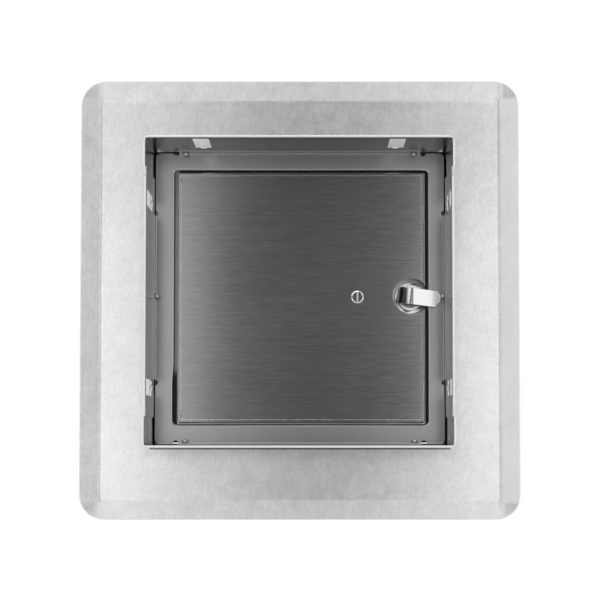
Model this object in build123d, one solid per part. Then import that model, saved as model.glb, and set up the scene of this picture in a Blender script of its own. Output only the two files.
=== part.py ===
from build123d import *
import math
import os

os.makedirs("parts", exist_ok=True)

# Chimney clean-out door in galvanised sheet, in millimetres.
# X runs to the right and Z up as seen from the wall side; Y runs from the wall to the room.
# The origin is the middle of the plane in which the flange's rim meets the wall.

# Sheet and flange plate
SHEET = 0.8
FLANGE = 304.8
FLANGE_CORNER = 17.5
BEVEL = 13.5
RISE = 2.0
FOOT = 0.6
FLAT_CORNER = 2.4
FACE = RISE + SHEET

# Collar that goes into the wall
COLLAR = 203.2
COLLAR_END = -51.0
LAP_START = 76.0
WALL_HALF = 82.0
HEM_DEPTH = 4.1
BEND = 1.6
WEB_HEM_HALF = 98.8
SIDE_HEM_HALF = 75.6
LAP_HEM_START = 82.4
LAP_HEM_END = 98.6

# Open windows in the collar's walls
WINDOW_WIDTH = 10.8
WINDOW_NEAR = -46.9
WINDOW_DEEP = -21.2
WINDOW_CORNER = 1.2
NOTCH_RADIUS = 2.4
WEB_WINDOW_X = 65.1
SIDE_WINDOW_Z = 62.5

# Flange opening with its turned neck
NECK_END = -4.0
NECK_CORNER = 2.5
NECK_BEND = 1.2
SIDE_FACE = COLLAR / 2 - 2 * SHEET
WEB_FACE = COLLAR / 2 - SHEET

# Inner frame across the collar
FRAME_BACK = -9.2
FRAME_SHEET = 1.0
FRAME_FRONT = FRAME_BACK + FRAME_SHEET
FRAME_GAP = 1.0
FRAME_CORNER = 3.0
LIP_END = -6.2
LIP_BEND = 1.7
RIVET_FLANGE_EDGE = -15.5
SIDE_FLANGE_HALF = 56.4
WEB_FLANGE_HALF = 83.0
RELIEF_RADIUS = 1.9

# Door opening in the inner frame; its hinge edge steps out a little towards the bottom
OPEN_LEFT = -86.0
OPEN_LEFT_LOW = -86.9
OPEN_RIGHT = 87.7
OPEN_TOP = 87.6
OPEN_BOTTOM = -87.0
STEP_UPPER_Z = -46.0
STEP_LOWER_Z = -57.0
OPEN_CORNERS = [1.6, 40, 40, 3.0, 2.6, 1.6]

# Blind rivets
RIVET_RADIUS = 1.6
RIVET_HOLE = 1.65
RIVET_DEPTH = -12.5
RIVET_X = 78.3
RIVET_SIDE_Z = 0.6
TAIL_LENGTH = 2.4
TAIL_WAIST = 2.0
TAIL_END = 1.5
STEM_BORE = 0.8
STEM_DEPTH = 0.5
RIVET_HEAD = 3.1
RIVET_CROWN = 1.4

# Door: front tray, rear pan, filling and seal
TRAY_WIDTH = 196.4
TRAY_HEIGHT = 198.0
TRAY_BACK = -5.6
TRAY_CORNER = 2.5
PAN_WIDTH = 169.2
PAN_HEIGHT = 172.4
PAN_X = 0.9
PAN_Z = 0.2
PAN_BACK = -10.3
PAN_CORNER = 1.4
PAN_BEND = 1.0
PAN_FLANGE = 7.0
RIM_WIDTH = 2.3
RIM_HEIGHT = 0.25
PAN_CLEARANCE = 0.1
BOARD_GAP = 0.9
BOARD_CORNER = 1.5
SCREW_CLEARANCE = 0.2
NICK_X = -81.6
NICK_WIDTH = 0.6
NICK_SPAN = (79.8, 82.6)
SEAL_WEB = 0.5
SEAL_REACH = 0.7
SEAL_MARGIN = 1.5
SEAL_LEDGE = 2.0
SEAL_CORNER = 4.0
SEAL_CLEAR = 0.5

# Latch: a hook on a quarter-turn spindle
LATCH_X = 76.5
LATCH_Z = 0.8
LATCH_TILT = 7.5
LATCH_HOLE = 12.6
POCKET_RADIUS = 14.0
WASHER_RADIUS = 11.1
WASHER_THICKNESS = 1.2
NUT_FLATS = 18.0
NUT_THICKNESS = 3.0
NUT_TURN = 15.0
NUT_TRIM = (10.3, 0.7, 1.4)
BARREL_RADIUS = 7.0
HOUSING_RADIUS = 12.0
HOUSING_HEAD = 1.6
SPINDLE_RADIUS = 4.0
SPINDLE_PLAY = 0.06
PEEN_RADIUS = 4.2
PEEN = 1.1
TENON = 5.6
TONGUE_WIDTH = 11.0
TONGUE_SHEET = 1.6
TONGUE_BASE = -2.8
TONGUE_BACK = -13.5
TONGUE_HEEL = -8.1
TONGUE_REACH = 19.7
TONGUE_BASE_END = 6.0
HEEL_BEND = 2.2
BACK_BEND = 8.3
CLIP_LOW = (3.1, 4.3)
CLIP_HIGH = (2.3, 3.5)

# Turn knob and pull knob on the front
KNOB_START = 4.7
KNOB_RADIUS = 13.0
KNOB_BASE = 3.5
WING_THICKNESS = 6.0
WING_END = 19.0
KNOB_ROOF = 4.0
WAIST_RADIUS = 7.5
WAIST_DROP = 3.0
CROSS_PIN_RADIUS = 1.25
PULL_X = 39.5
PULL_Z = 0.3
PULL_LENGTH = 21.0
PULL_RADIUS = 13.0
PULL_DOME = 3.6

# Slotted hexagon washer-head screw
SCREW_RADIUS = 2.1
SCREW_FLANGE_RADIUS = 4.55
SCREW_FLANGE = 0.9
SCREW_FLATS = 6.35
SCREW_HEAD = 3.1
SCREW_CROWN_RADIUS = 3.75
SCREW_POINT = 3.0
SCREW_SLOT = 1.2
SCREW_SLOT_DEPTH = 1.7
SCREW_TIP_Y = 13.0

# Hinge on the room side
HINGE_X = -101.2
HINGE_Y = 6.0
HINGE_PIN = 1.5
HINGE_BORE = 1.55
KNUCKLE = 3.0
LEAF = 1.2
LEAF_WIDTH = 22.0
KNUCKLE_LENGTH = 20.0
KNUCKLES = 5
KNUCKLE_GAP = 0.3
LEAF_CLEAR = 3.4
LEAF_CORNER = 4.0
PIN_HEAD_RADIUS = 2.4
PIN_HEAD = 1.2


# Helpers

def prism(profile, y_back, y_front):
    """Raise a profile drawn in X and Z between two depths."""
    return extrude(Plane.XZ.offset(-y_front) * profile, amount=y_front - y_back)


def block(x, y, z):
    """Box between pairs of limits."""
    middle = Pos(sum(x) / 2, sum(y) / 2, sum(z) / 2)
    return middle * Box(x[1] - x[0], y[1] - y[0], z[1] - z[0])


def rounded(width, height, corner, x=0, z=0):
    return Pos(x, z) * RectangleRounded(width, height, corner)


def strip(points, radii, thickness, side):
    """Section of a bent sheet: one face as a line with bends, the sheet on one side of it."""
    line = FilletPolyline(*points, radius=radii)
    return make_face(offset(line, thickness, side=side).edges())


def turned(*curves):
    """Body of revolution round Y from a half section with X as the radius."""
    return revolve(make_face(Curve() + list(curves)), Axis.Y)


def round_bar(radius, y_back, y_front):
    return prism(Circle(radius), y_back, y_front)


def at_latch(shape):
    return Pos(LATCH_X, 0, LATCH_Z) * shape


def at_pull(shape):
    return Pos(PULL_X, 0, PULL_Z) * shape


def edges_at(shape, y, inside=1000.0):
    """Edges that lie in one depth plane and within a distance of the middle lines."""
    found = ShapeList()
    for edge in shape.edges():
        box = edge.bounding_box()
        flat = abs(box.min.Y - y) < 1e-4 and abs(box.max.Y - y) < 1e-4
        reach = max(abs(box.min.X), abs(box.max.X), abs(box.min.Z), abs(box.max.Z))
        if flat and reach < inside:
            found.append(edge)
    return found


def save(name, shape):
    export_step(shape, f"parts/{name}.step")


# Flange plate

def flange_skin(inset, corner, y_rim, y_flat):
    """Solid under a plate with four bevels, whose corners fan out to a rounded rim."""
    size = FLANGE - 2 * inset
    flat = FLANGE - 2 * BEVEL
    rim = Plane.XZ.offset(-y_rim) * RectangleRounded(size, size, corner)
    top = Plane.XZ.offset(-y_flat) * RectangleRounded(flat, flat, FLAT_CORNER)
    return loft([rim.face(), top.face()], ruled=True)


def flange_plate():
    outer = prism(rounded(FLANGE, FLANGE, FLANGE_CORNER), 0, SHEET)
    outer += flange_skin(0, FLANGE_CORNER, SHEET, FACE)
    plate = outer - flange_skin(FOOT, FLANGE_CORNER - FOOT, 0, RISE)
    neck = rounded(2 * SIDE_FACE, 2 * WEB_FACE, NECK_CORNER)
    bore = rounded(2 * (SIDE_FACE - SHEET), 2 * (WEB_FACE - SHEET), NECK_CORNER - SHEET)
    plate = plate + prism(neck, NECK_END, RISE) - prism(bore, NECK_END, FACE)
    return fillet(edges_at(plate, FACE, SIDE_FACE + 3), NECK_BEND)


# Collar

def hem_section(plane):
    """Free edge folded outwards on itself, drawn with its depth along the plane's first axis."""
    nose = COLLAR_END + SHEET
    fold = Pos((nose + COLLAR_END + HEM_DEPTH) / 2, 0)
    fold = fold * Rectangle(HEM_DEPTH - SHEET, 2 * SHEET)
    return plane * (fold + Pos(nose, 0) * Circle(SHEET))


def window(plane):
    """Cutter for a window with a half-round notch in the middle of its deep end."""
    middle = (WINDOW_NEAR + WINDOW_DEEP) / 2
    slot = RectangleRounded(WINDOW_WIDTH, WINDOW_DEEP - WINDOW_NEAR, WINDOW_CORNER)
    outline = Pos(0, middle) * slot + Pos(0, WINDOW_DEEP) * Circle(NOTCH_RADIUS)
    return extrude(plane * outline, amount=3, both=True)


def rivet_holes():
    """Holes of all six rivets, through the collar and the inner frame's flanges."""
    holes = []
    for place, inward in rivet_places():
        bar = Cylinder(RIVET_HOLE, 8)
        holes.append(Plane(origin=place, z_dir=inward) * bar)
    return holes


def rivet_places():
    """Point on the collar's outer face and inward direction of each rivet."""
    places = []
    for x in (-RIVET_X, RIVET_X):
        places.append(((x, RIVET_DEPTH, COLLAR / 2), (0, 0, -1)))
        places.append(((x, RIVET_DEPTH, -COLLAR / 2), (0, 0, 1)))
    side = SIDE_FACE + SHEET
    places.append(((-side, RIVET_DEPTH, RIVET_SIDE_Z), (1, 0, 0)))
    places.append(((side, RIVET_DEPTH, RIVET_SIDE_Z), (-1, 0, 0)))
    return places


def collar_top():
    half = COLLAR / 2
    corners = [(-half, LAP_START), (-half, half), (half, half), (half, LAP_START)]
    channel = prism(strip(corners, BEND, SHEET, Side.RIGHT), COLLAR_END, RISE)
    width = (-WEB_HEM_HALF, WEB_HEM_HALF)
    channel -= block(width, (COLLAR_END, COLLAR_END + SHEET), (WEB_FACE - 1, half + 1))
    seat = Plane(origin=(0, 0, half), x_dir=(0, 1, 0), z_dir=(1, 0, 0))
    channel += extrude(hem_section(seat), amount=WEB_HEM_HALF, both=True)
    for x in (-half, half):
        lap = ((x - SHEET, x + SHEET), (COLLAR_END, COLLAR_END + SHEET), (LAP_HEM_START, LAP_HEM_END))
        channel -= block(*lap)
        lap_seat = Plane(origin=(x, 0, LAP_HEM_START), x_dir=(0, 1, 0), z_dir=(0, 0, 1))
        channel += extrude(hem_section(lap_seat), amount=LAP_HEM_END - LAP_HEM_START)
    for x in (-WEB_WINDOW_X, WEB_WINDOW_X):
        channel -= window(Plane(origin=(x, 0, WEB_FACE), x_dir=(1, 0, 0), z_dir=(0, 0, 1)))
    for hole in rivet_holes():
        channel -= hole
    return channel


def collar_bottom(top):
    return mirror(top, about=Plane.XY)


def collar_right():
    x_mid = SIDE_FACE + SHEET / 2
    nose = COLLAR_END + SHEET
    wall = block((SIDE_FACE, SIDE_FACE + SHEET), (nose, RISE), (-WALL_HALF, WALL_HALF))
    seat = Plane(origin=(SIDE_FACE + SHEET, 0, 0), x_dir=(0, 1, 0), z_dir=(0, 0, 1))
    wall += extrude(hem_section(seat), amount=SIDE_HEM_HALF, both=True)
    for z in (-SIDE_WINDOW_Z, SIDE_WINDOW_Z):
        wall -= window(Plane(origin=(x_mid, 0, z), x_dir=(0, 0, 1), z_dir=(-1, 0, 0)))
    for hole in rivet_holes():
        wall -= hole
    return wall


def collar_left(right):
    return mirror(right, about=Plane.YZ)


# Inner frame

def opening_face(grow=0.0):
    """Door opening of the inner frame, with its stepped hinge edge, grown all round."""
    corners = [
        (OPEN_LEFT, OPEN_TOP),
        (OPEN_LEFT, STEP_UPPER_Z),
        (OPEN_LEFT_LOW, STEP_LOWER_Z),
        (OPEN_LEFT_LOW, OPEN_BOTTOM),
        (OPEN_RIGHT, OPEN_BOTTOM),
        (OPEN_RIGHT, OPEN_TOP),
    ]
    outline = FilletPolyline(*corners, radius=OPEN_CORNERS, close=True)
    face = make_face(outline)
    return offset(face, grow) if grow else face


def riveting_flanges():
    """The four flanges that are turned back along the collar's walls."""
    start = SIDE_FACE - 10
    side_line = [(start, FRAME_FRONT), (SIDE_FACE, FRAME_FRONT), (SIDE_FACE, RIVET_FLANGE_EDGE)]
    side = extrude(strip(side_line, BEND, FRAME_SHEET, Side.RIGHT), amount=SIDE_FLANGE_HALF, both=True)
    web_line = [(FRAME_FRONT, start), (FRAME_FRONT, WEB_FACE), (RIVET_FLANGE_EDGE, WEB_FACE)]
    web_section = Plane.YZ * strip(web_line, BEND, FRAME_SHEET, Side.LEFT)
    web = extrude(web_section, amount=WEB_FLANGE_HALF, both=True)
    return [side, mirror(side, about=Plane.YZ), web, mirror(web, about=Plane.XY)]


def reliefs():
    """Round notches in the plate's edge at the ends of each riveting flange."""
    x_edge = SIDE_FACE - FRAME_GAP
    z_edge = WEB_FACE - FRAME_GAP
    web_x = WEB_FLANGE_HALF + RELIEF_RADIUS
    side_z = SIDE_FLANGE_HALF + RELIEF_RADIUS
    spots = []
    for a in (-1, 1):
        for b in (-1, 1):
            spots.append(Pos(a * web_x, b * z_edge) * Circle(RELIEF_RADIUS))
            spots.append(Pos(a * x_edge, b * side_z) * Circle(RELIEF_RADIUS))
    return Sketch() + spots


def inner_frame():
    width = 2 * (SIDE_FACE - FRAME_GAP)
    height = 2 * (WEB_FACE - FRAME_GAP)
    outline = rounded(width, height, FRAME_CORNER) - reliefs()
    plate = prism(outline, FRAME_BACK, FRAME_FRONT)
    for flange in riveting_flanges():
        plate += flange
    plate += prism(opening_face(FRAME_SHEET), FRAME_BACK, LIP_END)
    plate -= prism(opening_face(), FRAME_BACK, LIP_END)
    plate = fillet(edges_at(plate, FRAME_BACK, OPEN_RIGHT + 0.5), LIP_BEND)
    for hole in rivet_holes():
        plate -= hole
    return plate


def frame_rivet(stack):
    """Blind rivet along Z with its head below zero and its set tail past the stack."""
    tail = stack + TAIL_LENGTH
    section = Curve() + [
        ThreePointArc((0, -RIVET_CROWN), (1.8, -1.05), (RIVET_HEAD, -0.25)),
        Line((RIVET_HEAD, -0.25), (RIVET_HEAD, 0)),
        Line((RIVET_HEAD, 0), (RIVET_RADIUS, 0)),
        Line((RIVET_RADIUS, 0), (RIVET_RADIUS, stack)),
        ThreePointArc((RIVET_RADIUS, stack), (TAIL_WAIST, stack + TAIL_LENGTH / 2), (TAIL_END, tail)),
        Line((TAIL_END, tail), (STEM_BORE, tail)),
        Line((STEM_BORE, tail), (STEM_BORE, tail - STEM_DEPTH)),
        Line((STEM_BORE, tail - STEM_DEPTH), (0, tail - STEM_DEPTH)),
        Line((0, tail - STEM_DEPTH), (0, -RIVET_CROWN)),
    ]
    return revolve(Plane.XZ * make_face(section), Axis.Z)


def frame_rivets():
    one = frame_rivet(SHEET + FRAME_SHEET)
    return Compound(children=[Plane(origin=p, z_dir=d) * one for p, d in rivet_places()])


def door_gasket():
    """Seal round the opening, with a thin web that reaches into the gap round the pan."""
    width = 2 * (SIDE_FACE - SEAL_MARGIN)
    height = 2 * (WEB_FACE - SEAL_MARGIN)
    ring = rounded(width, height, SEAL_CORNER) - opening_face(FRAME_SHEET + SEAL_CLEAR)
    web = rounded(width - 2 * SEAL_LEDGE, height - 2 * SEAL_LEDGE, SEAL_CORNER)
    web -= pan_outline(-SEAL_REACH, PAN_CORNER)
    seal = prism(ring, FRAME_FRONT, TRAY_BACK) + prism(web, TRAY_BACK - SEAL_WEB, TRAY_BACK)
    return fillet(edges_at(seal, FRAME_FRONT, OPEN_RIGHT + 3), 0.5)


# Door

def door_front_tray():
    tray = prism(rounded(TRAY_WIDTH, TRAY_HEIGHT, TRAY_CORNER), TRAY_BACK, FACE)
    tray = fillet(edges_at(tray, FACE), BEND)
    room = rounded(TRAY_WIDTH - 2 * SHEET, TRAY_HEIGHT - 2 * SHEET, TRAY_CORNER - SHEET)
    tray -= prism(room, TRAY_BACK + SHEET, RISE)
    gap = 2 * PAN_CLEARANCE
    way = rounded(PAN_WIDTH + gap, PAN_HEIGHT + gap, PAN_CORNER, PAN_X, PAN_Z)
    tray -= prism(way, TRAY_BACK, TRAY_BACK + SHEET)
    tray -= at_latch(round_bar(LATCH_HOLE, TRAY_BACK, TRAY_BACK + SHEET))
    tray -= at_latch(round_bar(BARREL_RADIUS + 0.1, RISE, FACE))
    tray -= at_pull(round_bar(SCREW_RADIUS + SCREW_CLEARANCE, RISE, FACE))
    return tray


def pan_outline(inset, corner):
    return rounded(PAN_WIDTH - 2 * inset, PAN_HEIGHT - 2 * inset, corner, PAN_X, PAN_Z)


def door_rear_pan():
    front = TRAY_BACK + 2 * SHEET
    pan = prism(pan_outline(0, PAN_CORNER), PAN_BACK, front)
    pan = fillet(edges_at(pan, PAN_BACK), PAN_BEND)
    pan += prism(pan_outline(-PAN_FLANGE, PAN_CORNER), TRAY_BACK + SHEET, front)
    field = PAN_BACK + RIM_HEIGHT
    hollow = prism(pan_outline(SHEET, PAN_CORNER - SHEET), field + SHEET, front)
    pan -= fillet(edges_at(hollow, field + SHEET), PAN_BEND - SHEET)
    pan -= prism(pan_outline(RIM_WIDTH, PAN_CORNER - 1), PAN_BACK, field)
    for z in (-1, 1):
        low, high = sorted(z * end for end in NICK_SPAN)
        pan -= block((NICK_X, NICK_X + NICK_WIDTH), (PAN_BACK, PAN_BACK + 2), (low, high))
    pan -= at_latch(round_bar(LATCH_HOLE, PAN_BACK, front))
    pan -= at_pull(round_bar(SCREW_RADIUS + SCREW_CLEARANCE, PAN_BACK, front))
    return pan


def door_insulation():
    board = prism(pan_outline(SHEET + BOARD_GAP, BOARD_CORNER), PAN_BACK + RIM_HEIGHT + SHEET, RISE)
    board -= at_latch(round_bar(POCKET_RADIUS, PAN_BACK, RISE))
    board -= at_pull(round_bar(SCREW_RADIUS + 1, PAN_BACK, RISE))
    return board


# Latch

def latch_housing():
    barrel = round_bar(BARREL_RADIUS, RISE - WASHER_THICKNESS - NUT_THICKNESS, FACE)
    head = round_bar(HOUSING_RADIUS, FACE, FACE + HOUSING_HEAD)
    head = fillet(edges_at(head, FACE + HOUSING_HEAD), HOUSING_HEAD / 2)
    return at_latch(barrel + head - round_bar(SPINDLE_RADIUS + SPINDLE_PLAY, -10, 10))


def latch_washer():
    ring = round_bar(WASHER_RADIUS, RISE - WASHER_THICKNESS, RISE)
    ring = fillet(edges_at(ring, RISE - WASHER_THICKNESS), 0.4)
    return at_latch(ring - round_bar(BARREL_RADIUS + 0.2, -5, 5))


def latch_nut():
    front = RISE - WASHER_THICKNESS
    back = front - NUT_THICKNESS
    hexagon = RegularPolygon(NUT_FLATS / 2, 6, major_radius=False, rotation=NUT_TURN)
    radius, depth, width = NUT_TRIM
    corner_trim = chamfer(edges_at(round_bar(radius, back, front), back), depth, width)
    nut = prism(hexagon, back, front) & corner_trim
    return at_latch(nut - round_bar(BARREL_RADIUS + 0.05, -5, 5))


def latch_spindle():
    neck_end = TONGUE_BASE - TONGUE_SHEET
    spindle = round_bar(SPINDLE_RADIUS, TONGUE_BASE, WING_END - KNOB_ROOF)
    spindle += prism(Rectangle(TENON, TENON), neck_end, TONGUE_BASE)
    peened = round_bar(PEEN_RADIUS, neck_end - PEEN, neck_end)
    spindle += fillet(edges_at(peened, neck_end - PEEN), 0.8)
    spindle -= cross_hole()
    return at_latch(Rot(0, LATCH_TILT, 0) * spindle)


def cross_hole():
    bar = Cylinder(CROSS_PIN_RADIUS + 0.03, 2 * KNOB_RADIUS + 4, rotation=(0, 90, 0))
    return Pos(0, KNOB_START + KNOB_BASE / 2, 0) * bar


def tongue_plan():
    """Plan of the tongue: square heel and a tip with two unequal clipped corners."""
    half = TONGUE_WIDTH / 2
    return make_face(Polyline(
        (TONGUE_HEEL - 1, -half),
        (TONGUE_REACH - CLIP_LOW[0], -half),
        (TONGUE_REACH, CLIP_LOW[1] - half),
        (TONGUE_REACH, half - CLIP_HIGH[1]),
        (TONGUE_REACH - CLIP_HIGH[0], half),
        (TONGUE_HEEL - 1, half),
        close=True,
    ))


def latch_tongue():
    """Hook bent from strip: base under the spindle's end, heel, wide bend and flat nose."""
    path = [
        (TONGUE_BASE_END, TONGUE_BASE),
        (TONGUE_HEEL, TONGUE_BASE),
        (TONGUE_HEEL, TONGUE_BACK),
        (TONGUE_REACH, TONGUE_BACK),
    ]
    section = strip(path, [HEEL_BEND, BACK_BEND], TONGUE_SHEET, Side.LEFT)
    hook = extrude(section, amount=TONGUE_WIDTH / 2, both=True)
    hook = hook & prism(tongue_plan(), TONGUE_BACK - 1, TONGUE_BASE + 1)
    hook -= prism(Rectangle(TENON + 0.1, TENON + 0.1), TONGUE_BASE - TONGUE_SHEET, TONGUE_BASE)
    return at_latch(Rot(0, LATCH_TILT, 0) * hook)


def latch_knob():
    """Turn knob: a round base with a finger wing in line with the tongue."""
    top = KNOB_START + KNOB_BASE
    base = round_bar(KNOB_RADIUS, KNOB_START, top)
    base = fillet(edges_at(base, top), 1.2)
    wing = prism(Rectangle(2 * KNOB_RADIUS - 2, WING_THICKNESS), top - 1, WING_END)
    wing = fillet(wing.edges().filter_by(Axis.Y), 2.4)
    wing = fillet(edges_at(wing, WING_END), 1.6)
    waist_end = WING_END - WAIST_DROP
    waist = fillet(edges_at(round_bar(WAIST_RADIUS, top - 1, waist_end), waist_end), 1.5)
    knob = base + wing + waist - round_bar(SPINDLE_RADIUS + 0.05, KNOB_START, WING_END - KNOB_ROOF)
    return at_latch(Rot(0, LATCH_TILT, 0) * (knob - cross_hole()))


def latch_knob_pin():
    bar = Cylinder(CROSS_PIN_RADIUS, 2 * KNOB_RADIUS - 1.5, rotation=(0, 90, 0))
    return at_latch(Rot(0, LATCH_TILT, 0) * (Pos(0, KNOB_START + KNOB_BASE / 2, 0) * bar))


# Pull knob and its screw

def pull_knob():
    end = FACE + PULL_LENGTH
    brim = PULL_RADIUS - 1.5
    dome = (brim**2 + PULL_DOME**2) / (2 * PULL_DOME)
    crown = math.asin(brim / dome) / 2
    knob = turned(
        Line((0, FACE), (8, FACE)),
        Line((8, FACE), (8, FACE + 1.5)),
        ThreePointArc((8, FACE + 1.5), (5.6, FACE + 5), (7, FACE + 9)),
        ThreePointArc((7, FACE + 9), (10.2, FACE + 10.8), (12.4, FACE + 13.4)),
        ThreePointArc((12.4, FACE + 13.4), (PULL_RADIUS, FACE + 15.4), (brim, end - PULL_DOME)),
        ThreePointArc(
            (brim, end - PULL_DOME),
            (dome * math.sin(crown), end - dome * (1 - math.cos(crown))),
            (0, end),
        ),
        Line((0, end), (0, FACE)),
    )
    return at_pull(knob - round_bar(SCREW_RADIUS + 0.1, FACE, SCREW_TIP_Y + 2))


def pull_screw():
    seat = PAN_BACK + RIM_HEIGHT
    crown = seat - SCREW_FLANGE
    top = crown - SCREW_HEAD
    flange = chamfer(edges_at(round_bar(SCREW_FLANGE_RADIUS, crown, seat), crown), 0.4)
    hexagon = prism(RegularPolygon(SCREW_FLATS / 2, 6, major_radius=False), top, crown)
    hexagon = hexagon & chamfer(edges_at(round_bar(SCREW_CROWN_RADIUS, top, crown), top), 0.5)
    slot = block((-SCREW_SLOT / 2, SCREW_SLOT / 2), (top, top + SCREW_SLOT_DEPTH), (-5, 5))
    shank = round_bar(SCREW_RADIUS, seat, SCREW_TIP_Y - SCREW_POINT)
    halfway = Plane(origin=(0, SCREW_TIP_Y - SCREW_POINT / 2, 0), z_dir=(0, 1, 0))
    point = halfway * Cone(SCREW_RADIUS, 0.3, SCREW_POINT)
    return at_pull(flange + hexagon - slot + shank + point)


# Hinge

def knuckle_spans(first):
    """Height limits of every second knuckle, starting with the given one."""
    bottom = -KNUCKLES * KNUCKLE_LENGTH / 2
    spans = []
    for i in range(first, KNUCKLES, 2):
        low = bottom + i * KNUCKLE_LENGTH
        spans.append((low + KNUCKLE_GAP / 2, low + KNUCKLE_LENGTH - KNUCKLE_GAP / 2))
    return spans


def hinge_leaf(outward, first):
    """Leaf on one side of the pin, with its share of the knuckles."""
    half = KNUCKLES * KNUCKLE_LENGTH / 2
    pin_line = Pos(HINGE_X, HINGE_Y, 0)
    far = HINGE_X + outward * (LEAF_WIDTH + KNUCKLE)
    x_limits = sorted((HINGE_X, far))
    leaf = block(x_limits, (FACE, FACE + LEAF), (-half, half))
    far_edges = leaf.edges().filter_by(Axis.Y).sort_by(Axis.X)
    leaf = fillet(far_edges[-2:] if outward > 0 else far_edges[:2], LEAF_CORNER)
    leaf -= pin_line * Cylinder(LEAF_CLEAR, 2 * half + 2)
    for low, high in knuckle_spans(first):
        barrel = Circle(KNUCKLE) + Pos(outward * 2, FACE + LEAF / 2 - HINGE_Y) * Rectangle(4, LEAF)
        barrel -= Circle(HINGE_BORE)
        leaf += Pos(HINGE_X, HINGE_Y, low) * extrude(barrel, amount=high - low)
    return leaf


def hinge_pin():
    half = KNUCKLES * KNUCKLE_LENGTH / 2
    pin = Cylinder(HINGE_PIN, 2 * half)
    for end in (-1, 1):
        head = Pos(0, 0, end * (half + PIN_HEAD / 2)) * Cylinder(PIN_HEAD_RADIUS, PIN_HEAD)
        outer = head.edges().filter_by(GeomType.CIRCLE).sort_by(Axis.Z)
        pin += fillet(outer[-1] if end > 0 else outer[0], PIN_HEAD / 2)
    return Pos(HINGE_X, HINGE_Y, 0) * pin


top_channel = collar_top()
right_wall = collar_right()
save("flange_plate", flange_plate())
save("collar_top", top_channel)
save("collar_bottom", collar_bottom(top_channel))
save("collar_right", right_wall)
save("collar_left", collar_left(right_wall))
save("inner_frame", inner_frame())
save("frame_rivets", frame_rivets())
save("door_gasket", door_gasket())
save("hinge_frame_leaf", hinge_leaf(-1, 0))
save("hinge_pin", hinge_pin())
save("door_front_tray", door_front_tray())
save("door_rear_pan", door_rear_pan())
save("door_insulation", door_insulation())
save("hinge_door_leaf", hinge_leaf(1, 1))
save("latch_housing", latch_housing())
save("latch_washer", latch_washer())
save("latch_nut", latch_nut())
save("pull_knob", pull_knob())
save("pull_screw", pull_screw())
save("latch_spindle", latch_spindle())
save("latch_knob", latch_knob())
save("latch_knob_pin", latch_knob_pin())
save("latch_tongue", latch_tongue())
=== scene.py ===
import math

import bmesh
import bpy
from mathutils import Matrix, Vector


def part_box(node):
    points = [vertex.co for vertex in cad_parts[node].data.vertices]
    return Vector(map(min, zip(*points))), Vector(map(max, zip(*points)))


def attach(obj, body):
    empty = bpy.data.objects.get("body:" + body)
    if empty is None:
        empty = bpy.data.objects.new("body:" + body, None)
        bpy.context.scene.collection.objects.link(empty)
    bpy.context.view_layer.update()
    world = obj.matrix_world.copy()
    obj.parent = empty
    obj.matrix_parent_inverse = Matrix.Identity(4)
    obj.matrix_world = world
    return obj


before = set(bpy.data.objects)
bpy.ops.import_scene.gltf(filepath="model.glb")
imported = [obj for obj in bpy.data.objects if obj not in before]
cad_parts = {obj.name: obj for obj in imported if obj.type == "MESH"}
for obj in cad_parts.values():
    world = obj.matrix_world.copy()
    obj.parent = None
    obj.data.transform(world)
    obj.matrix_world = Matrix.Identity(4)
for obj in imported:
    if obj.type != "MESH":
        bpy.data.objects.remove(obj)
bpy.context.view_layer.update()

# Camera: place in metres, shifts as parts of the picture's width
EYE = (0.0108, -0.844, -0.093)
TILT_UP = math.radians(2.0)
LENS = 73.22
SHIFT_X = -0.0259
SHIFT_Y = 0.1512

# Floor, world and lamps
FLOOR_Z = -0.35
FLOOR_HALF = 0.7
FLOOR_GREY = 0.86
FLOOR_WHITENESS = 0.7
SKY_AMBIENT = 0.55
KEY_LAMP = (-0.7, -1.3, 1.5)
ROOM_SIDE_LAMP = (0.7, 1.3, 1.4)
LAMP_SIZE = 2.0
LAMP_POWER = 12

# Soft light sheets, seen in reflections only, with a dark slot in the middle
SOFTBOX_Y = -0.95
SOFTBOX_HALF = 0.9
SOFTBOX_LEFT_GLOW = 1.16
SOFTBOX_RIGHT_GLOW = 1.24
SOFTBOX_MIDDLE_Z = -0.05
SOFTBOX_FALL_FROM = (0.15, 0.5)
SOFTBOX_FALL = 0.36
SLOT_LEFT = (0.118, 0.2)
SLOT_RIGHT = (0.165, 0.205)
SLOT_GREY = 0.22

# Dark flag at the left, seen in reflections only
FLAG_X = -0.72
FLAG_Y = (-0.94, -0.1)
FLAG_Z = (-0.06, 0.24)
FLAG_GREY = 0.04

# Colours of the bare metals, as reflected light
GALVANISED = 0.74
COLLAR_ZINC = 0.703
FRAME_GREY = (0.39, 0.39195, 0.3939)
PAN_STEEL = (0.3, 0.3, 0.3015)
PLATED = (0.7, 0.6965, 0.6895)
HINGE_PLATED = (0.665, 0.658, 0.644)
WASHER_PLATED = (0.86, 0.8557, 0.8471)
NUT_PLATED = (0.74, 0.7363, 0.7289)
TONGUE_PLATED = (0.66, 0.66, 0.6534)
# Screw: a head grey of painted shade, and a bright grey for the washer's plating and a painted
# highlight in the slot.
SCREW_HEAD_PAINTED_SHADE = (0.2, 0.2, 0.2)
SCREW_PLATING_AND_SLOT_HIGHLIGHT = (0.86, 0.86, 0.85)
PIN_STEEL = (0.5, 0.49, 0.48)

# Colours of the board, the seal and the knobs
BOARD_BUFF = (0.6, 0.57, 0.5)
# The seal's black is partly its own and partly painted shade in the gap round the pan.
SEAL_BLACK_AND_GAP_SHADE = (0.02, 0.02, 0.02)
SEAL_PALE = (0.5, 0.5, 0.5)
KNOB_BLACK = (0.012, 0.012, 0.013)
KNOB_HANDLED = (0.024, 0.024, 0.025)

# Edges: samples of the rounding, and how far a normal has to turn to count as an edge
EDGE_SAMPLES = 4
EDGE_TURN = (0.02, 0.2)

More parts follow.
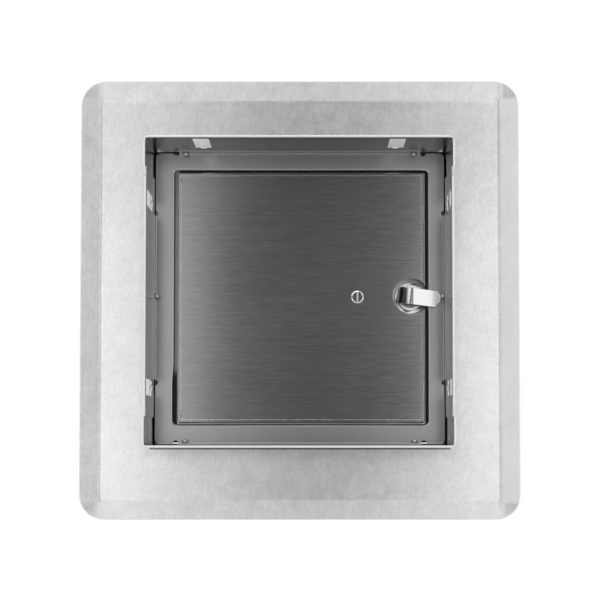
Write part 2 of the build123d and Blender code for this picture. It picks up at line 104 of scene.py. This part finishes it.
# Scratches: waves in a metre along and across them, and the share of the sheet that has them
SCRATCH_ALONG = 18
SCRATCH_ACROSS = 2400
SCRATCH_FADE = 0.05
SCRATCH_PATCHES = 20
SCRATCHED_SHARE = (0.5, 0.65)

# Depth of the skins' relief, in metres
SHEET_RELIEF = 0.00002
BRUSHED_RELIEF = 0.00003
KNOB_RELIEF = 0.00006
TORN_RELIEF = 0.0001
BOARD_RELIEF = 0.0003
WOVEN_RELIEF = 0.0004
WELD_RELIEF = 0.0004

# Slopes and dishes are heights in metres, which the bump takes as they are
IN_METRES = 1.0
PEEL_HEIGHT = 0.000008
TONGUE_PEEL_HEIGHT = 0.000006

# Flange: where its marks start and end, in metres from the middle or along Y
BEND_LINE = 0.1389
BEND_LINE_HALF = 0.0008
BEND_LINE_RELIEF = 9.0
BEVEL_DULL = 0.1
# Painted light on the right bevel, which makes it lighter than the left bevel.
RIGHT_BEVEL_PAINTED_LIGHT = 0.55
RIGHT_BEVEL_PAINTED_LIGHT_GREY = 0.97
# Painted shade where the bevels meet in the corners.
CORNER_PAINTED_SHADE = 0.14
CORNER_BLEND = 0.004
COLLAR_FACE = 0.1016
# Dark line round the collar's root, partly its seam and partly painted shadow, then painted shade
# fading out; on the wall side only.
ROOT_SEAM_AND_SHADOW = (0.0022, 0.0032)
ROOT_SEAM_AND_SHADOW_DARK = 0.8
ROOT_SHADE = (0.002, 0.013)
ROOT_SHADE_DARK = 0.16
ROOT_AND_CORNER_SHADE_GREY = 0.03
WALL_SIDE = (0.0022, 0.0026)

# Collar: where its marks start and end
HEM_NOSE = (-0.0508, -0.0502)
# Painted highlight on the hems' noses: white and less metallic.
HEM_PAINTED_HIGHLIGHT = 0.8
WEB_INNER_FROM = (0.1000, 0.1006)
WEB_OUTER = (0.1009, 0.1012)
# Painted shade on the webs' inner faces.
WEB_INNER_SHADE = 0.78
WEB_INNER_SHADE_GREY = 0.1
HEM_PAINTED_HIGHLIGHT_GREY = 1.0
# Painted shade on the collar's inner faces behind the inner frame, where light from the room side
# would show.
SHADE_BEHIND_FRAME_Y = (-0.0092, -0.0086)
SHADE_BEHIND_FRAME_GREY = 0.02
CORNER_ZONE = (0.0815, 0.0825)
WALL_OUTER = (0.1003, 0.1006)
COLLAR_SHEET = 0.0008

# Seal: its paler stretch beside the hinge
SEAL_PALE_X = (-0.0835, -0.0825)
SEAL_PALE_Z = (-0.055, -0.045)
SEAL_THREADS = 260.0

# Screw, latch and hinge: axes in X and Z, zones and slopes
SCREW_AXIS = (0.0395, 0.0003)
SCREW_WASHER = (0.0031, 0.0035)
SCREW_SLOT = (0.0005, 0.0007)
SCREW_DISH = 0.42
SCREW_SLOT_TILT = 0.4
LATCH_AXIS = (0.0765, 0.0008)
LATCH_DISH = 0.03
WASHER_LEAN = 0.08
NUT_LEAN = 0.06
TONGUE_LEG = (0.0722, 0.0752)
# Painted shade on the hook's leg.
TONGUE_LEG_PAINTED_SHADE = 0.85
TONGUE_LEG_SHADE_GREY = 0.04
TONGUE_FLAT = (0.0772, 0.0776)
TONGUE_LEAN = 0.07
WELD_RIM = (0.00132, 0.0024)
WELD_X = (-0.1165, -0.0855)
WELD_Z = (-0.036, -0.012, 0.012, 0.036)

# Blind rivets: tails inside the collar, and the broken pins in them
# Grey of the rivets' plating, darkened with painted shade.
RIVET_SHADED_GREY = 0.4
RIVET_X = 0.0783
RIVET_Y = -0.0125
RIVET_SIDE_Z = 0.0006
TAIL_FROM_TOP = 0.0056
STEM_SIDES = 24
STEM_OUTLINE = [
    (0, -0.0014), (0.00075, -0.0014), (0.00078, 0.0001), (0.0006, 0.00032), (0.00035, 0.00028),
    (0, 0.0004),
]


# Shader expressions

def grey(tone):
    """Colour with three equal parts."""
    return (tone, tone, tone)


class Wire:
    """A socket that takes part in arithmetic by adding Math nodes."""

    def __init__(self, nodes, socket):
        self.nodes = nodes
        self.socket = socket

    def math(self, operation, *values):
        return self.nodes.node("Math", {"operation": operation}, dict(enumerate(values)))

    def __add__(self, other):
        return self.math("ADD", self, other)

    def __sub__(self, other):
        return self.math("SUBTRACT", self, other)

    def __rsub__(self, other):
        return self.math("SUBTRACT", other, self)

    def __mul__(self, other):
        return self.math("MULTIPLY", self, other)

    def __pow__(self, other):
        return self.math("POWER", self, other)

    def __abs__(self):
        return self.math("ABSOLUTE", self)

    __radd__ = __add__
    __rmul__ = __mul__

    def between(self, low, high):
        """Zero below one value and one above another, with a smooth rise in between."""
        settings = {"interpolation_type": "SMOOTHSTEP"}
        return self.nodes.node("MapRange", settings, {0: self, 1: low, 2: high})

    def largest(self, other):
        return self.math("MAXIMUM", self, other)


class Nodes:
    """The node tree of a material or world, and the one way to add to it."""

    def __init__(self, owner):
        owner.use_nodes = True
        self.tree = owner.node_tree
        self.tree.nodes.clear()

    def node(self, kind, settings=None, sockets=None, pick=0):
        """Add a node: its type, its settings, its sockets' values or links, the output wanted."""
        made = self.tree.nodes.new("ShaderNode" + kind)
        for name, value in (settings or {}).items():
            setattr(made, name, value)
        for name, value in (sockets or {}).items():
            if isinstance(value, Wire):
                self.tree.links.new(value.socket, made.inputs[name])
            else:
                made.inputs[name].default_value = value
        return Wire(self, made.outputs[pick]) if made.outputs else None


class Finish(Nodes):
    """One material, with the steps that its look is built from."""

    def __init__(self, name):
        self.material = bpy.data.materials.new(name)
        super().__init__(self.material)
        self.place = self.node("TexCoord", pick="Object")

    def stretched(self, x, y, z):
        """Place on the object, multiplied per axis: a small factor makes long grain along it."""
        sockets = {"Vector": self.place, "Scale": (x, y, z)}
        return self.node("Mapping", {"vector_type": "POINT"}, sockets)

    def turned(self, angle, along, across):
        """Place turned in the X-Z plane and stretched, for scratches at an angle."""
        sockets = {"Vector": self.place, "Rotation": (0, angle, 0)}
        turn = self.node("Mapping", {"vector_type": "POINT"}, sockets)
        sockets = {"Vector": turn, "Scale": (along, across, across)}
        return self.node("Mapping", {"vector_type": "POINT"}, sockets)

    def noise(self, where=None, scale=1.0, detail=3.0, rough=0.5, warp=0.0):
        """Soft random value, around one half, with a number of blots in a metre."""
        sockets = {"Vector": where or self.place, "Scale": scale, "Detail": detail}
        sockets.update({"Roughness": rough, "Distortion": warp})
        return self.node("TexNoise", {"noise_dimensions": "3D"}, sockets)

    def crystals(self, scale):
        """One random grey for each cell."""
        sockets = {"Vector": self.place, "Scale": scale}
        return self.grey_of(self.node("TexVoronoi", {"feature": "F1"}, sockets, "Color"))

    def grey_of(self, colour):
        return self.node("RGBToBW", sockets={0: colour})

    def axis(self, name):
        return self.node("SeparateXYZ", sockets={0: self.place}, pick=name)

    def away_from(self, centre):
        """Distance in the X-Z plane from a point, in metres."""
        x, z = self.axis("X") - centre[0], self.axis("Z") - centre[1]
        return (x * x + z * z) ** 0.5

    @staticmethod
    def colour(value):
        """A wire as it is, or three numbers with full alpha."""
        return value if isinstance(value, Wire) else (*value, 1)

    def tint(self, factor, first, second):
        """Mix of two colours, which are inputs 6 and 7 of the node and its output 2."""
        sockets = {0: factor, 6: self.colour(first), 7: self.colour(second)}
        return self.node("Mix", {"data_type": "RGBA"}, sockets, pick=2)

    def shade(self, colour, factor):
        """Colour times a grey value."""
        level = self.node("CombineXYZ", sockets={0: factor, 1: factor, 2: factor})
        settings = {"data_type": "RGBA", "blend_type": "MULTIPLY"}
        return self.node("Mix", settings, {0: 1.0, 6: self.colour(colour), 7: level}, pick=2)

    def bump(self, height, distance, strength=1.0, normal=None):
        sockets = {"Height": height, "Distance": distance, "Strength": strength}
        if normal:
            sockets["Normal"] = normal
        return self.node("Bump", sockets=sockets)

    def soft_edge(self, radius):
        """Normal that rounds sharp edges."""
        return self.node("Bevel", {"samples": EDGE_SAMPLES}, {"Radius": radius})

    def rubbed_and_highlit(self, colour, radius, amount, tone):
        """Colour with its sharp edges lightened to a grey of their own: partly edge wear, partly
        painted highlight.
        """
        plain = self.node("NewGeometry", pick="Normal")
        sockets = {0: self.soft_edge(radius), 1: plain}
        same = self.node("VectorMath", {"operation": "DOT_PRODUCT"}, sockets, "Value")
        return self.tint((1 - same).between(*EDGE_TURN) * amount, colour, grey(tone))

    def surface(self, colour, roughness, metallic, normal):
        """Close the material with its shader and output."""
        sockets = {"Base Color": colour, "Roughness": roughness, "Metallic": metallic}
        sockets["Normal"] = normal
        shader = self.node("BsdfPrincipled", sockets=sockets)
        self.node("OutputMaterial", sockets={"Surface": shader})
        return self.material


# Finishes

def scratches(f, angle, gap, seed):
    """Hair-thin straight scratches in one direction, one where a scratch is."""
    line = f.noise(f.turned(angle, SCRATCH_ALONG + seed, SCRATCH_ACROSS), detail=1.0)
    patch = f.noise(scale=SCRATCH_PATCHES + seed, detail=2.0)
    return line.between(gap, gap + SCRATCH_FADE) * patch.between(*SCRATCHED_SHARE)


def galvanised(name, tone, roughness, relief=1.0, soft=0.00035, marks=None):
    """Zinc-coated sheet: faint crystals, cloudy mottling, rolling marks and scratches."""
    f = Finish(name)
    haze = f.noise(scale=14, detail=2.0)
    clouds = f.noise(scale=95, rough=0.6, warp=0.6)
    mottle = f.noise(scale=330, detail=4.0, rough=0.6)
    grain = f.noise(scale=850, rough=0.7)
    crystal = f.crystals(scale=420)
    rolling = f.noise(f.stretched(1100, 1100, 120))
    scuffs = scratches(f, angle=0.6, gap=0.64, seed=1)
    scuffs = scuffs.largest(scratches(f, angle=-0.9, gap=0.65, seed=4))
    shade = 0.4 + haze * 0.18 + clouds * 0.26 + mottle * 0.18 + crystal * 0.03 + scuffs * 0.05
    shade = shade + grain * 0.34 + rolling * 0.22
    cool, plain = (tone * 0.985, tone, tone * 1.01), (tone, tone, tone * 0.995)
    colour = f.shade(f.tint(haze, cool, plain), shade)
    # Edges lightened, partly by wear and partly as painted highlight.
    colour = f.rubbed_and_highlit(colour, radius=0.0005, amount=0.5, tone=0.84)
    rough = roughness - 0.06 + clouds * 0.07 + mottle * 0.05 + crystal * 0.02
    height = mottle * 0.5 + crystal * 0.15 + rolling * 0.35
    metallic = 1.0
    if marks:
        colour, metallic, rough, height = marks(f, colour, rough, height)
    normal = f.bump(height, SHEET_RELIEF, strength=0.4 * relief, normal=f.soft_edge(soft))
    return f.surface(colour, rough, metallic, normal)


def flange_marks(f, colour, rough, height):
    """Line where the bevels start, their skins, painted light on the right bevel, painted shade in
    the bevels' corners, and a dark line at the collar's root, partly its seam and partly painted
    shadow, with painted shade fading out beyond it.
    """
    x, z = f.axis("X"), f.axis("Z")
    across, up = abs(x), abs(z)
    reach = across.largest(up)
    outside = reach - COLLAR_FACE
    # Dark line at the collar's root, partly seam and partly painted shadow, and painted shade
    # fading out from it.
    root_seam_and_shadow = (1 - outside.between(*ROOT_SEAM_AND_SHADOW)) * ROOT_SEAM_AND_SHADOW_DARK
    root_shade = (1 - outside.between(*ROOT_SHADE)) * ROOT_SHADE_DARK
    wall_side = 1 - f.axis("Y").between(*WALL_SIDE)
    # Painted shade in the corners where the bevels meet.
    right_or_left = (across - BEND_LINE).between(0, CORNER_BLEND)
    corner = right_or_left * (up - BEND_LINE).between(0, CORNER_BLEND)
    dark = root_seam_and_shadow.largest(root_shade) * wall_side
    colour = f.tint(dark.largest(corner * CORNER_PAINTED_SHADE), colour, grey(ROOT_AND_CORNER_SHADE_GREY))
    # Painted light: the right bevel is tinted lighter than the left.
    bright = (x - BEND_LINE).between(BEND_LINE_HALF, BEND_LINE_HALF * 2) * (1 - corner)
    colour = f.tint(bright * RIGHT_BEVEL_PAINTED_LIGHT, colour, grey(RIGHT_BEVEL_PAINTED_LIGHT_GREY))
    away = reach - BEND_LINE
    ridge = 1 - abs(away).between(0, BEND_LINE_HALF)
    bevel = away.between(0, BEND_LINE_HALF)
    return colour, 1.0, rough + bevel * BEVEL_DULL, height + ridge * BEND_LINE_RELIEF


def collar_marks(f, colour, rough, height):
    """Painted highlight on the hems, painted shade on the webs' inner skin and on the collar's
    faces behind the frame.
    """
    across, up = abs(f.axis("X")), abs(f.axis("Z"))
    outer_web = up.between(*WEB_OUTER)
    inner_web = (1 - outer_web) * up.between(*WEB_INNER_FROM)
    # Painted shade on the webs' inner faces.
    colour = f.tint(inner_web * WEB_INNER_SHADE, colour, grey(WEB_INNER_SHADE_GREY))
    outer_wall = (across - up.between(*CORNER_ZONE) * COLLAR_SHEET).between(*WALL_OUTER)
    # Painted shade behind the inner frame, also rougher and less metallic.
    shade_behind_frame = f.axis("Y").between(*SHADE_BEHIND_FRAME_Y) * (1 - outer_wall.largest(outer_web))
    colour = f.tint(shade_behind_frame, colour, grey(SHADE_BEHIND_FRAME_GREY))
    # Painted highlight: the hems' noses white and less metallic.
    lit_nose = 1 - f.axis("Y").between(*HEM_NOSE)
    colour = f.tint(lit_nose, colour, grey(HEM_PAINTED_HIGHLIGHT_GREY))
    return colour, 1 - lit_nose * HEM_PAINTED_HIGHLIGHT - shade_behind_frame, rough + shade_behind_frame * 0.5, height


def inner_frame_sheet():
    """Smooth coated sheet of the inner frame: even grey, with drawing marks along the bends."""
    f = Finish("inner_frame_grey")
    clouds = f.noise(scale=40)
    grain = f.noise(scale=900, detail=4.0, rough=0.6)
    streak = f.noise(f.stretched(12, 600, 600), detail=2.0)
    shade = 0.84 + clouds * 0.14 + grain * 0.14 + streak * 0.05
    # Edges lightened, partly by wear and partly as painted highlight.
    colour = f.rubbed_and_highlit(f.shade(FRAME_GREY, shade), radius=0.0006, amount=0.7, tone=0.75)
    height = grain * 0.7 + clouds * 0.3
    normal = f.bump(height, SHEET_RELIEF, strength=0.3, normal=f.soft_edge(0.0004))
    return f.surface(colour, 0.25 + grain * 0.08, metallic=1.0, normal=normal)


def brushed_pan():
    """Uncoated steel of the pan, brushed from side to side with short strokes."""
    f = Finish("brushed_pan_steel")
    strokes = f.noise(f.stretched(75, 1500, 1500), detail=4.0, rough=0.65)
    long_lines = f.noise(f.stretched(16, 520, 520))
    clouds = f.noise(scale=18, detail=2.0)
    scuffs = scratches(f, angle=0.05, gap=0.64, seed=2)
    shade = 0.5 + strokes * 0.62 + long_lines * 0.22 + clouds * 0.16 + scuffs * 0.08
    # Edges lightened, partly by wear and partly as painted highlight.
    colour = f.rubbed_and_highlit(f.shade(PAN_STEEL, shade), radius=0.0006, amount=0.85, tone=0.88)
    height = strokes * 0.6 + long_lines * 0.4
    normal = f.bump(height, BRUSHED_RELIEF, strength=0.25, normal=f.soft_edge(0.0003))
    rough = 0.11 + strokes * 0.08 + clouds * 0.04
    return f.surface(colour, rough, metallic=1.0, normal=normal)


def latch_body_zinc():
    """Bright zinc plating of the latch's housing, spindle and pin, with a slight orange peel."""
    f = Finish("bright_zinc_plating")
    peel = f.noise(scale=900)
    clouds = f.noise(scale=120)
    colour = f.shade(PLATED, 0.9 + clouds * 0.12 + peel * 0.06)
    # Edges lightened, partly by wear and partly as painted highlight.
    colour = f.rubbed_and_highlit(colour, radius=0.0003, amount=0.4, tone=0.9)
    normal = f.bump(peel, SHEET_RELIEF, strength=0.3, normal=f.soft_edge(0.0002))
    return f.surface(colour, 0.14 + clouds * 0.1, metallic=1.0, normal=normal)


def latch_ring_zinc(name, plated, lean):
    """Bright zinc of the nut and washer, slightly dished and not quite square to the pan."""
    f = Finish(name)
    peel = f.noise(scale=900)
    clouds = f.noise(scale=160)
    colour = f.shade(plated, 0.86 + clouds * 0.2 + peel * 0.08)
    # Edges lightened, partly by wear and partly as painted highlight.
    colour = f.rubbed_and_highlit(colour, radius=0.0003, amount=0.4, tone=0.9)
    height = peel * PEEL_HEIGHT - f.away_from(LATCH_AXIS) * LATCH_DISH - f.axis("X") * lean
    normal = f.bump(height, IN_METRES, normal=f.soft_edge(0.0002))
    return f.surface(colour, 0.26 + clouds * 0.12, metallic=1.0, normal=normal)


def screw_zinc():
    """Plated screw: bright dished washer, a head darkened with painted shade and a slot lit with a
    painted highlight.
    """
    f = Finish("screw_zinc_plating")
    away = f.away_from(SCREW_AXIS)
    peel = f.noise(scale=1200)
    washer = away.between(*SCREW_WASHER)
    slot = (1 - abs(f.axis("X") - SCREW_AXIS[0]).between(*SCREW_SLOT)) * (1 - washer)
    # Painted shade on the head, painted highlight in the slot.
    skin = f.tint(washer.largest(slot), SCREW_HEAD_PAINTED_SHADE, SCREW_PLATING_AND_SLOT_HIGHLIGHT)
    colour = f.shade(skin, 0.9 + peel * 0.2)
    height = peel * PEEL_HEIGHT - away * washer * SCREW_DISH
    height = height + f.axis("Z") * slot * SCREW_SLOT_TILT
    normal = f.bump(height, IN_METRES, normal=f.soft_edge(0.0001))
    return f.surface(colour, 0.2 + peel * 0.08, metallic=1.0, normal=normal)


def tongue_zinc():
    """Plated hook whose leg is darkened with painted shade, and whose flat end leans a little to
    the door's edge.
    """
    f = Finish("tongue_zinc_plating")
    peel = f.noise(scale=900)
    rubbing = f.noise(f.stretched(90, 700, 700))
    colour = f.shade(TONGUE_PLATED, 0.88 + peel * 0.1 + rubbing * 0.14)
    # Edges lightened, partly by wear and partly as painted highlight.
    colour = f.rubbed_and_highlit(colour, radius=0.0003, amount=0.5, tone=0.92)
    # Painted shade darkens the leg.
    leg = 1 - f.axis("X").between(*TONGUE_LEG)
    colour = f.tint(leg * TONGUE_LEG_PAINTED_SHADE, colour, grey(TONGUE_LEG_SHADE_GREY))
    lean = f.axis("X").between(*TONGUE_FLAT) * f.axis("X") * TONGUE_LEAN
    normal = f.bump(peel * TONGUE_PEEL_HEIGHT - lean, IN_METRES, normal=f.soft_edge(0.0002))
    return f.surface(colour, 0.12 + rubbing * 0.1, metallic=1.0, normal=normal)


def rivet_zinc():
    """Plated blind rivets, their plating darkened with painted shade, greyer where the tails have
    been drawn.
    """
    f = Finish("rivet_zinc_plating")
    drawn = f.noise(scale=1400)
    # Plating darkened with painted shade.
    colour = f.shade(grey(RIVET_SHADED_GREY), 0.8 + drawn * 0.4)
    normal = f.bump(drawn, BRUSHED_RELIEF, strength=0.4, normal=f.soft_edge(0.0002))
    return f.surface(colour, 0.2 + drawn * 0.1, metallic=1.0, normal=normal)


def rivet_pin_steel():
    """Bare steel of the broken rivet pins."""
    f = Finish("rivet_pin_steel")
    torn = f.noise(scale=2600)
    colour = f.shade(PIN_STEEL, 0.7 + torn * 0.5)
    normal = f.bump(torn, TORN_RELIEF, strength=0.6)
    return f.surface(colour, 0.3 + torn * 0.2, metallic=1.0, normal=normal)


def hinge_zinc():
    """Plated hinge with a row of spot welds on each leaf."""
    f = Finish("hinge_zinc_plating")
    welds = sum(1 - f.away_from((x, z)).between(*WELD_RIM) for x in WELD_X for z in WELD_Z)
    peel = f.noise(scale=700)
    clouds = f.noise(scale=90)
    colour = f.shade(HINGE_PLATED, 0.88 + clouds * 0.14 + peel * 0.05 - welds * 0.3)
    # Edges lightened, partly by wear and partly as painted highlight.
    colour = f.rubbed_and_highlit(colour, radius=0.0004, amount=0.4, tone=0.88)
    height = peel * 0.06 - welds
    normal = f.bump(height, WELD_RELIEF, strength=0.7, normal=f.soft_edge(0.0003))
    rough = 0.27 + clouds * 0.1 + welds * 0.15
    return f.surface(colour, rough, metallic=1.0, normal=normal)


def sealing_tape():
    """Flat woven glass-fibre tape, black, partly its own graphite black and partly painted shade
    in the gap, and paler along the hinge.
    """
    f = Finish("woven_seal_tape")

    def yarns(direction):
        settings = {"wave_type": "BANDS", "bands_direction": direction}
        return f.grey_of(f.node("TexWave", settings, {"Vector": f.place, "Scale": SEAL_THREADS}))

    threads = yarns("X") * yarns("Z")
    fibre = f.noise(scale=2200)
    dust = f.noise(scale=60)
    pale_stretch = (1 - f.axis("X").between(*SEAL_PALE_X)) * f.axis("Z").between(*SEAL_PALE_Z)
    # Black partly painted shade in the gap; paler beside the hinge.
    skin = f.tint(pale_stretch, SEAL_BLACK_AND_GAP_SHADE, SEAL_PALE)
    colour = f.shade(skin, 0.6 + threads * 0.5 + fibre * 0.2 + dust * 0.3)
    normal = f.bump(threads + fibre * 0.4, WOVEN_RELIEF, strength=0.6)
    return f.surface(colour, 0.92, metallic=0.0, normal=normal)


def insulation_board():
    """Pressed mineral board, matt and slightly fibrous."""
    f = Finish("mineral_board")
    fibre = f.noise(f.stretched(300, 1400, 300), detail=4.0)
    specks = f.noise(scale=700, detail=4.0)
    colour = f.shade(BOARD_BUFF, 0.75 + fibre * 0.3 + specks * 0.15)
    normal = f.bump(fibre + specks * 0.5, BOARD_RELIEF, strength=0.6)
    return f.surface(colour, 0.95, metallic=0.0, normal=normal)


def moulded_knob():
    """Black moulded phenolic with a satin skin and slightly polished high spots."""
    f = Finish("black_moulded_knob")
    skin = f.noise(scale=1300)
    handled = f.noise(scale=130)
    colour = f.tint(handled, KNOB_BLACK, KNOB_HANDLED)
    # Edges lightened, partly by wear and partly as painted highlight.
    colour = f.rubbed_and_highlit(colour, radius=0.0008, amount=0.5, tone=0.06)
    normal = f.bump(skin, KNOB_RELIEF, strength=0.5, normal=f.soft_edge(0.0004))
    rough = 0.26 + handled * 0.16 + skin * 0.06
    return f.surface(colour, rough, metallic=0.0, normal=normal)


# Broken pins of the blind rivets

def turned_piece(name, outline, sides):
    """Mesh turned round Z from (radius, height) points that start and end on the axis."""
    mesh = bmesh.new()
    rings = []
    for radius, height in outline:
        if radius == 0:
            rings.append([mesh.verts.new((0, 0, height))])
            continue
        angles = [2 * math.pi * i / sides for i in range(sides)]
        ring = [(radius * math.cos(angle), radius * math.sin(angle), height) for angle in angles]
        rings.append([mesh.verts.new(point) for point in ring])
    for low, high in zip(rings, rings[1:]):
        for i in range(sides):
            j = (i + 1) % sides
            steps = [(low, i), (low, j), (high, j), (high, i)]
            corners = [ring[step % len(ring)] for ring, step in steps]
            mesh.faces.new(list(dict.fromkeys(corners)))
    bmesh.ops.recalc_face_normals(mesh, faces=mesh.faces)
    data = bpy.data.meshes.new(name)
    mesh.to_mesh(data)
    mesh.free()
    piece = bpy.data.objects.new(name, data)
    bpy.context.scene.collection.objects.link(piece)
    return piece


def rivet_stems(material):
    """A stem in each of the six tails inside the collar."""
    low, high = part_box("frame_rivets")
    ends = [
        ((-RIVET_X, RIVET_Y, high.z - TAIL_FROM_TOP), (0, 0, -1)),
        ((RIVET_X, RIVET_Y, high.z - TAIL_FROM_TOP), (0, 0, -1)),
        ((-RIVET_X, RIVET_Y, low.z + TAIL_FROM_TOP), (0, 0, 1)),
        ((RIVET_X, RIVET_Y, low.z + TAIL_FROM_TOP), (0, 0, 1)),
        ((low.x + TAIL_FROM_TOP, RIVET_Y, RIVET_SIDE_Z), (1, 0, 0)),
        ((high.x - TAIL_FROM_TOP, RIVET_Y, RIVET_SIDE_Z), (-1, 0, 0)),
    ]
    for number, (place, inward) in enumerate(ends, 1):
        stem = turned_piece(f"rivet_stem_{number}", STEM_OUTLINE, STEM_SIDES)
        stem.data.materials.append(material)
        stem.location = place
        stem.rotation_euler = Vector(inward).to_track_quat("Z", "Y").to_euler()
        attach(stem, "frame")


# Surroundings

def stage_material(name, build):
    """Material of the surroundings, whose shader comes from a function."""
    f = Finish(name)
    f.node("OutputMaterial", sockets={"Surface": build(f)})
    return f.material


def pale_floor(f):
    """Pale to the lamps, nearly white to the eye, with the object's shadow kept."""
    matt = f.node("BsdfDiffuse", sockets={"Color": f.colour(grey(FLOOR_GREY))})
    glow = f.node("Emission", sockets={"Color": f.colour(grey(1.0))})
    seen = f.node("LightPath", pick="Is Camera Ray")
    return f.node("MixShader", sockets={0: seen * FLOOR_WHITENESS, 1: matt, 2: glow})


def softbox_glow(f):
    """Wide soft light with a dark slot in the middle, where the camera stands."""
    x = f.axis("X")
    left = (0 - x).between(*SLOT_LEFT) * SOFTBOX_LEFT_GLOW
    right = x.between(*SLOT_RIGHT) * SOFTBOX_RIGHT_GLOW
    fall = abs(f.axis("Z") - SOFTBOX_MIDDLE_Z).between(*SOFTBOX_FALL_FROM) * SOFTBOX_FALL
    return f.node("Emission", sockets={"Color": (SLOT_GREY + left + right) * (1 - fall)})


def dark_flag(f):
    """Black card at the left, which gives the hook's bend a dark flank."""
    return f.node("Emission", sockets={"Color": f.colour(grey(FLAG_GREY))})


def flat_sheet(name, corners, material):
    """Stage sheet between four corners."""
    data = bpy.data.meshes.new(name)
    data.from_pydata(corners, [], [(0, 1, 2, 3)])
    data.materials.append(material)
    sheet = bpy.data.objects.new(name, data)
    bpy.context.scene.collection.objects.link(sheet)
    return sheet


def only_in_reflections(sheet):
    """Hide a sheet from the camera and from matt surfaces."""
    sheet.visible_camera = False
    sheet.visible_shadow = False
    sheet.visible_diffuse = False


def surroundings():
    """Floor, two upright light sheets and the dark flag."""
    half, z = FLOOR_HALF, FLOOR_Z
    corners = [(-half, -half, z), (half, -half, z), (half, half, z), (-half, half, z)]
    flat_sheet("floor", corners, stage_material("pale_floor", pale_floor))
    half = SOFTBOX_HALF
    glow = stage_material("softbox", softbox_glow)
    for name, y in (("softbox_wall_side", SOFTBOX_Y), ("softbox_room_side", -SOFTBOX_Y)):
        corners = [(-half, y, -half), (half, y, -half), (half, y, half), (-half, y, half)]
        only_in_reflections(flat_sheet(name, corners, glow))
    (near, far), (low, high) = FLAG_Y, FLAG_Z
    corners = [(FLAG_X, y, z) for y, z in ((near, low), (far, low), (far, high), (near, high))]
    flag = flat_sheet("dark_flag", corners, stage_material("dark_flag", dark_flag))
    only_in_reflections(flag)


def world_light():
    """White to the camera and in metal and glass, a plain soft grey to matt surfaces."""
    world = bpy.data.worlds.new("studio")
    bpy.context.scene.world = world
    sky = Nodes(world)
    white = sky.node("LightPath", pick="Is Camera Ray")
    for ray in ("Is Glossy Ray", "Is Transmission Ray"):
        white = white.largest(sky.node("LightPath", pick=ray))
    level = SKY_AMBIENT + white * (1 - SKY_AMBIENT)
    sockets = {"Color": (1, 1, 1, 1), "Strength": level}
    background = sky.node("Background", sockets=sockets)
    sky.node("OutputWorld", sockets={"Surface": background})


def soft_lamp(name, place):
    """Large square lamp that points at the middle of the object."""
    data = bpy.data.lights.new(name, "AREA")
    data.shape = "SQUARE"
    data.size = LAMP_SIZE
    data.energy = LAMP_POWER
    lamp = bpy.data.objects.new(name, data)
    lamp.location = place
    lamp.rotation_euler = (-Vector(place)).to_track_quat("-Z", "Y").to_euler()
    bpy.context.scene.collection.objects.link(lamp)


def photo_camera():
    """Camera low in front of the wall side, shifted as the photo's was."""
    data = bpy.data.cameras.new("camera")
    data.lens = LENS
    data.shift_x = SHIFT_X
    data.shift_y = SHIFT_Y
    camera = bpy.data.objects.new("camera", data)
    camera.location = EYE
    camera.rotation_euler = (math.pi / 2 + TILT_UP, 0, 0)
    bpy.context.scene.collection.objects.link(camera)
    bpy.context.scene.camera = camera


# The object's finishes

def dress(material, *nodes):
    """Give one material to the named pieces."""
    for name in nodes:
        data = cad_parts[name].data
        data.materials.clear()
        data.materials.append(material)


flange_skin = galvanised("galvanised_flange", GALVANISED, roughness=0.31, marks=flange_marks)
collar_skin = galvanised(
    "galvanised_collar", COLLAR_ZINC, roughness=0.24, relief=0.4, soft=0.00025, marks=collar_marks,
)
dress(flange_skin, "flange_plate")
dress(collar_skin, "collar_top", "collar_bottom", "collar_left", "collar_right")
dress(galvanised("galvanised_door_skin", GALVANISED, roughness=0.36), "door_front_tray")
dress(inner_frame_sheet(), "inner_frame")
dress(brushed_pan(), "door_rear_pan")
dress(sealing_tape(), "door_gasket")
dress(insulation_board(), "door_insulation")
dress(moulded_knob(), "pull_knob", "latch_knob")
dress(hinge_zinc(), "hinge_frame_leaf", "hinge_door_leaf", "hinge_pin")
dress(latch_body_zinc(), "latch_housing", "latch_spindle", "latch_knob_pin")
dress(rivet_zinc(), "frame_rivets")
dress(screw_zinc(), "pull_screw")
dress(latch_ring_zinc("washer_zinc_plating", WASHER_PLATED, WASHER_LEAN), "latch_washer")
dress(latch_ring_zinc("nut_zinc_plating", NUT_PLATED, NUT_LEAN), "latch_nut")
dress(tongue_zinc(), "latch_tongue")
rivet_stems(rivet_pin_steel())

surroundings()
world_light()
soft_lamp("key_lamp", KEY_LAMP)
soft_lamp("room_side_lamp", ROOM_SIDE_LAMP)
photo_camera()
bpy.context.scene.view_settings.view_transform = "Standard"
